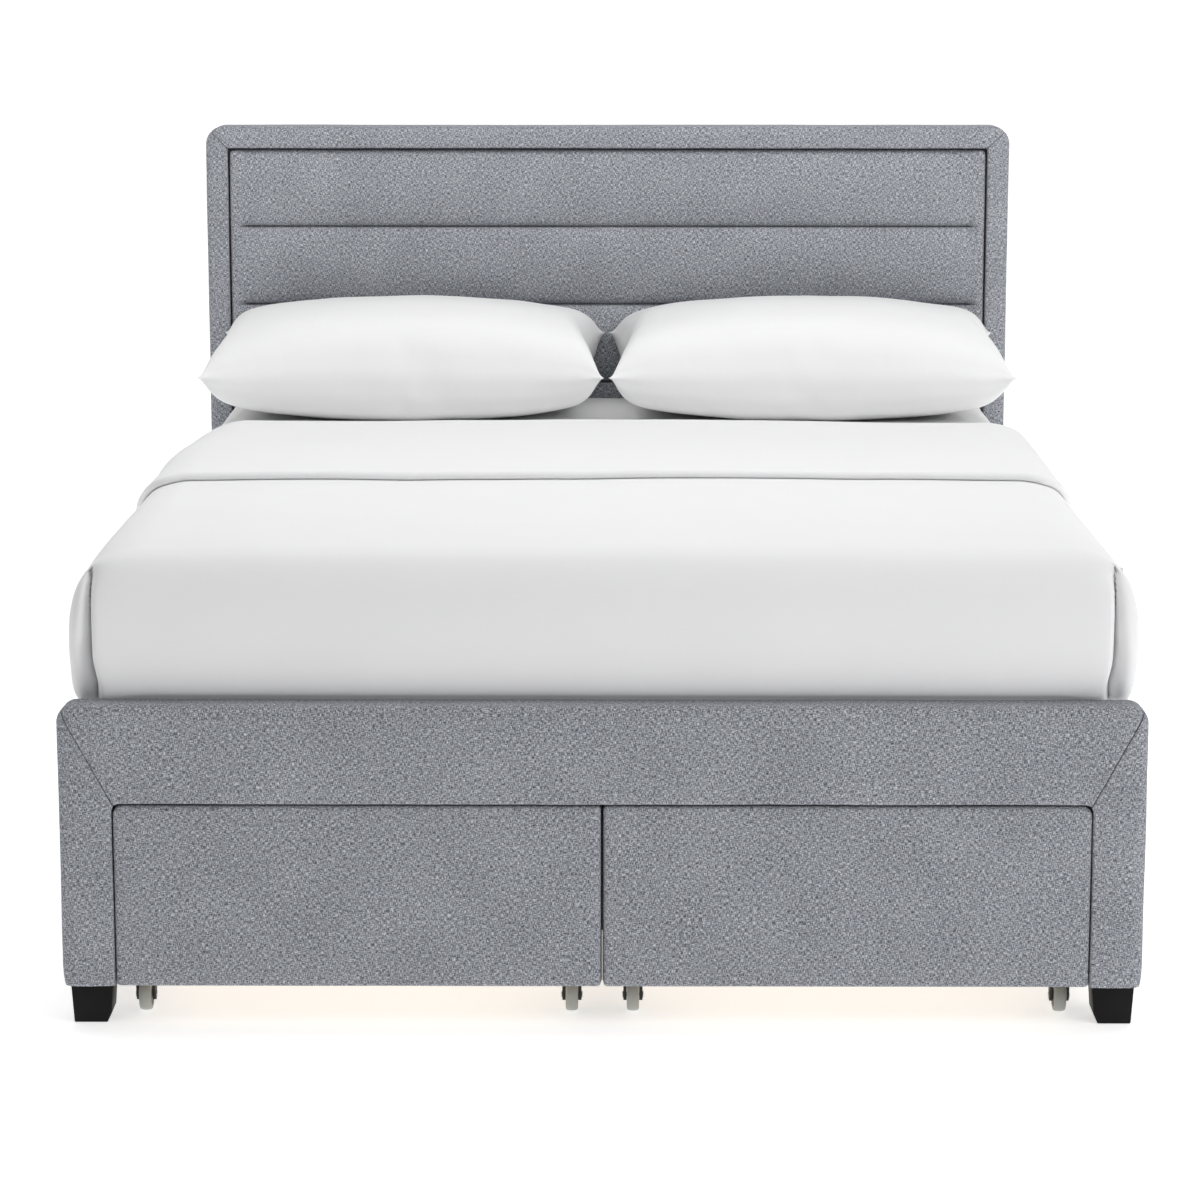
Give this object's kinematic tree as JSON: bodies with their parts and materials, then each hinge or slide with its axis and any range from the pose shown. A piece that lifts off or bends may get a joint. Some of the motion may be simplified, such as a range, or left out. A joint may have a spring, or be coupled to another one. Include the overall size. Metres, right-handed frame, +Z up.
{
  "type": "platform bed with storage drawers",
  "caption": "Upholstered platform bed with a channelled padded headboard, a slatted base, made-up bedding and storage drawers on castors that roll out from the foot end.",
  "frame": {"origin": "on the floor under the middle of the bed", "axes": "+Z up, +Y towards the headboard, +X to the right of a viewer standing at the foot end"},
  "size_m": [1.63, 2.18, 1.252],
  "materials": {
    "linen_grey": "matt woven melange upholstery",
    "duvet_cotton": "soft matt cotton",
    "pillow_cotton": "soft matt cotton",
    "mattress_ticking": "soft matt cotton",
    "dust_cover": "matt felted cloth",
    "leg_black": "satin black paint",
    "steel_dark": "satin powder coat",
    "steel_zinc": "zinc plated",
    "castor_fork_plastic": "moulded, matt",
    "castor_wheel_plastic": "moulded, slightly translucent",
    "slat_holder_plastic": "moulded, matt",
    "slat_birch": "clear lacquered birch",
    "frame_pine": "planed softwood",
    "frame_board": "raw board",
    "drawer_board": "foil faced board"
  },
  "bodies": {
    "frame": {"headboard_board": "frame_board", "headboard_border_left": "linen_grey", "headboard_border_right": "linen_grey", "headboard_border_top": "linen_grey", "headboard_channel_panel": "linen_grey", "headboard_lower_panel": "linen_grey", "headboard_back_cover": "dust_cover", "side_rail_board_left": "frame_board", "side_rail_board_right": "frame_board", "side_rail_cover_left": "linen_grey", "side_rail_cover_right": "linen_grey", "foot_rail_board": "frame_board", "foot_post_board_left": "frame_board", "foot_post_board_right": "frame_board", "foot_rail_cover": "linen_grey", "foot_post_cover_left": "linen_grey", "foot_post_cover_right": "linen_grey", "leg_foot_left": "leg_black", "leg_foot_right": "leg_black", "leg_head_left": "leg_black", "leg_head_right": "leg_black", "slat_ledger_left": "frame_pine", "slat_ledger_right": "frame_pine", "centre_beam": "frame_pine", "centre_beam_brackets": "steel_dark", "centre_leg_front": "steel_dark", "centre_leg_rear": "steel_dark", "slats_left": "slat_birch", "slats_right": "slat_birch", "slat_holders": "slat_holder_plastic", "corner_blocks": "frame_pine", "frame_bolts": "steel_zinc", "mattress": "mattress_ticking", "duvet": "duvet_cotton", "pillow_left": "pillow_cotton", "pillow_right": "pillow_cotton"},
    "drawer_left": {"drawer_left_front_board": "frame_board", "drawer_left_front_cover": "linen_grey", "drawer_left_side_outer": "drawer_board", "drawer_left_side_inner": "drawer_board", "drawer_left_back": "drawer_board", "drawer_left_base": "drawer_board", "drawer_left_castor_forks": "castor_fork_plastic", "drawer_left_castor_axles": "steel_zinc"},
    "drawer_right": {"drawer_right_front_board": "frame_board", "drawer_right_front_cover": "linen_grey", "drawer_right_side_outer": "drawer_board", "drawer_right_side_inner": "drawer_board", "drawer_right_back": "drawer_board", "drawer_right_base": "drawer_board", "drawer_right_castor_forks": "castor_fork_plastic", "drawer_right_castor_axles": "steel_zinc"},
    "drawer_left_wheel_front_outer": {"drawer_left_wheel_front_outer": "castor_wheel_plastic"},
    "drawer_left_wheel_front_inner": {"drawer_left_wheel_front_inner": "castor_wheel_plastic"},
    "drawer_left_wheel_rear_outer": {"drawer_left_wheel_rear_outer": "castor_wheel_plastic"},
    "drawer_left_wheel_rear_inner": {"drawer_left_wheel_rear_inner": "castor_wheel_plastic"},
    "drawer_right_wheel_front_outer": {"drawer_right_wheel_front_outer": "castor_wheel_plastic"},
    "drawer_right_wheel_front_inner": {"drawer_right_wheel_front_inner": "castor_wheel_plastic"},
    "drawer_right_wheel_rear_outer": {"drawer_right_wheel_rear_outer": "castor_wheel_plastic"},
    "drawer_right_wheel_rear_inner": {"drawer_right_wheel_rear_inner": "castor_wheel_plastic"}
  },
  "joints": [
    {"name": "drawer_left_slide", "type": "slide", "parent": "frame", "child": "drawer_left", "axis": [0, -1, 0], "range_m": [0, 0.75]},
    {"name": "drawer_right_slide", "type": "slide", "parent": "frame", "child": "drawer_right", "axis": [0, -1, 0], "range_m": [0, 0.75]},
    {"name": "drawer_left_wheel_front_outer_spin", "type": "hinge", "parent": "drawer_left", "child": "drawer_left_wheel_front_outer", "pos_m": [-0.703, -0.972, 0.025], "axis": [1, 0, 0], "continuous": true},
    {"name": "drawer_left_wheel_front_inner_spin", "type": "hinge", "parent": "drawer_left", "child": "drawer_left_wheel_front_inner", "pos_m": [-0.047, -0.972, 0.025], "axis": [1, 0, 0], "continuous": true},
    {"name": "drawer_left_wheel_rear_outer_spin", "type": "hinge", "parent": "drawer_left", "child": "drawer_left_wheel_rear_outer", "pos_m": [-0.703, -0.258, 0.025], "axis": [1, 0, 0], "continuous": true},
    {"name": "drawer_left_wheel_rear_inner_spin", "type": "hinge", "parent": "drawer_left", "child": "drawer_left_wheel_rear_inner", "pos_m": [-0.047, -0.258, 0.025], "axis": [1, 0, 0], "continuous": true},
    {"name": "drawer_right_wheel_front_outer_spin", "type": "hinge", "parent": "drawer_right", "child": "drawer_right_wheel_front_outer", "pos_m": [0.703, -0.972, 0.025], "axis": [1, 0, 0], "continuous": true},
    {"name": "drawer_right_wheel_front_inner_spin", "type": "hinge", "parent": "drawer_right", "child": "drawer_right_wheel_front_inner", "pos_m": [0.047, -0.972, 0.025], "axis": [1, 0, 0], "continuous": true},
    {"name": "drawer_right_wheel_rear_outer_spin", "type": "hinge", "parent": "drawer_right", "child": "drawer_right_wheel_rear_outer", "pos_m": [0.703, -0.258, 0.025], "axis": [1, 0, 0], "continuous": true},
    {"name": "drawer_right_wheel_rear_inner_spin", "type": "hinge", "parent": "drawer_right", "child": "drawer_right_wheel_rear_inner", "pos_m": [0.047, -0.258, 0.025], "axis": [1, 0, 0], "continuous": true}
  ],
  "couplings": [
    {"joint": "drawer_left_wheel_front_outer_spin", "follows": "drawer_left_slide", "rad_per_m": 40},
    {"joint": "drawer_left_wheel_front_inner_spin", "follows": "drawer_left_slide", "rad_per_m": 40},
    {"joint": "drawer_left_wheel_rear_outer_spin", "follows": "drawer_left_slide", "rad_per_m": 40},
    {"joint": "drawer_left_wheel_rear_inner_spin", "follows": "drawer_left_slide", "rad_per_m": 40},
    {"joint": "drawer_right_wheel_front_outer_spin", "follows": "drawer_right_slide", "rad_per_m": 40},
    {"joint": "drawer_right_wheel_front_inner_spin", "follows": "drawer_right_slide", "rad_per_m": 40},
    {"joint": "drawer_right_wheel_rear_outer_spin", "follows": "drawer_right_slide", "rad_per_m": 40},
    {"joint": "drawer_right_wheel_rear_inner_spin", "follows": "drawer_right_slide", "rad_per_m": 40}
  ]
}
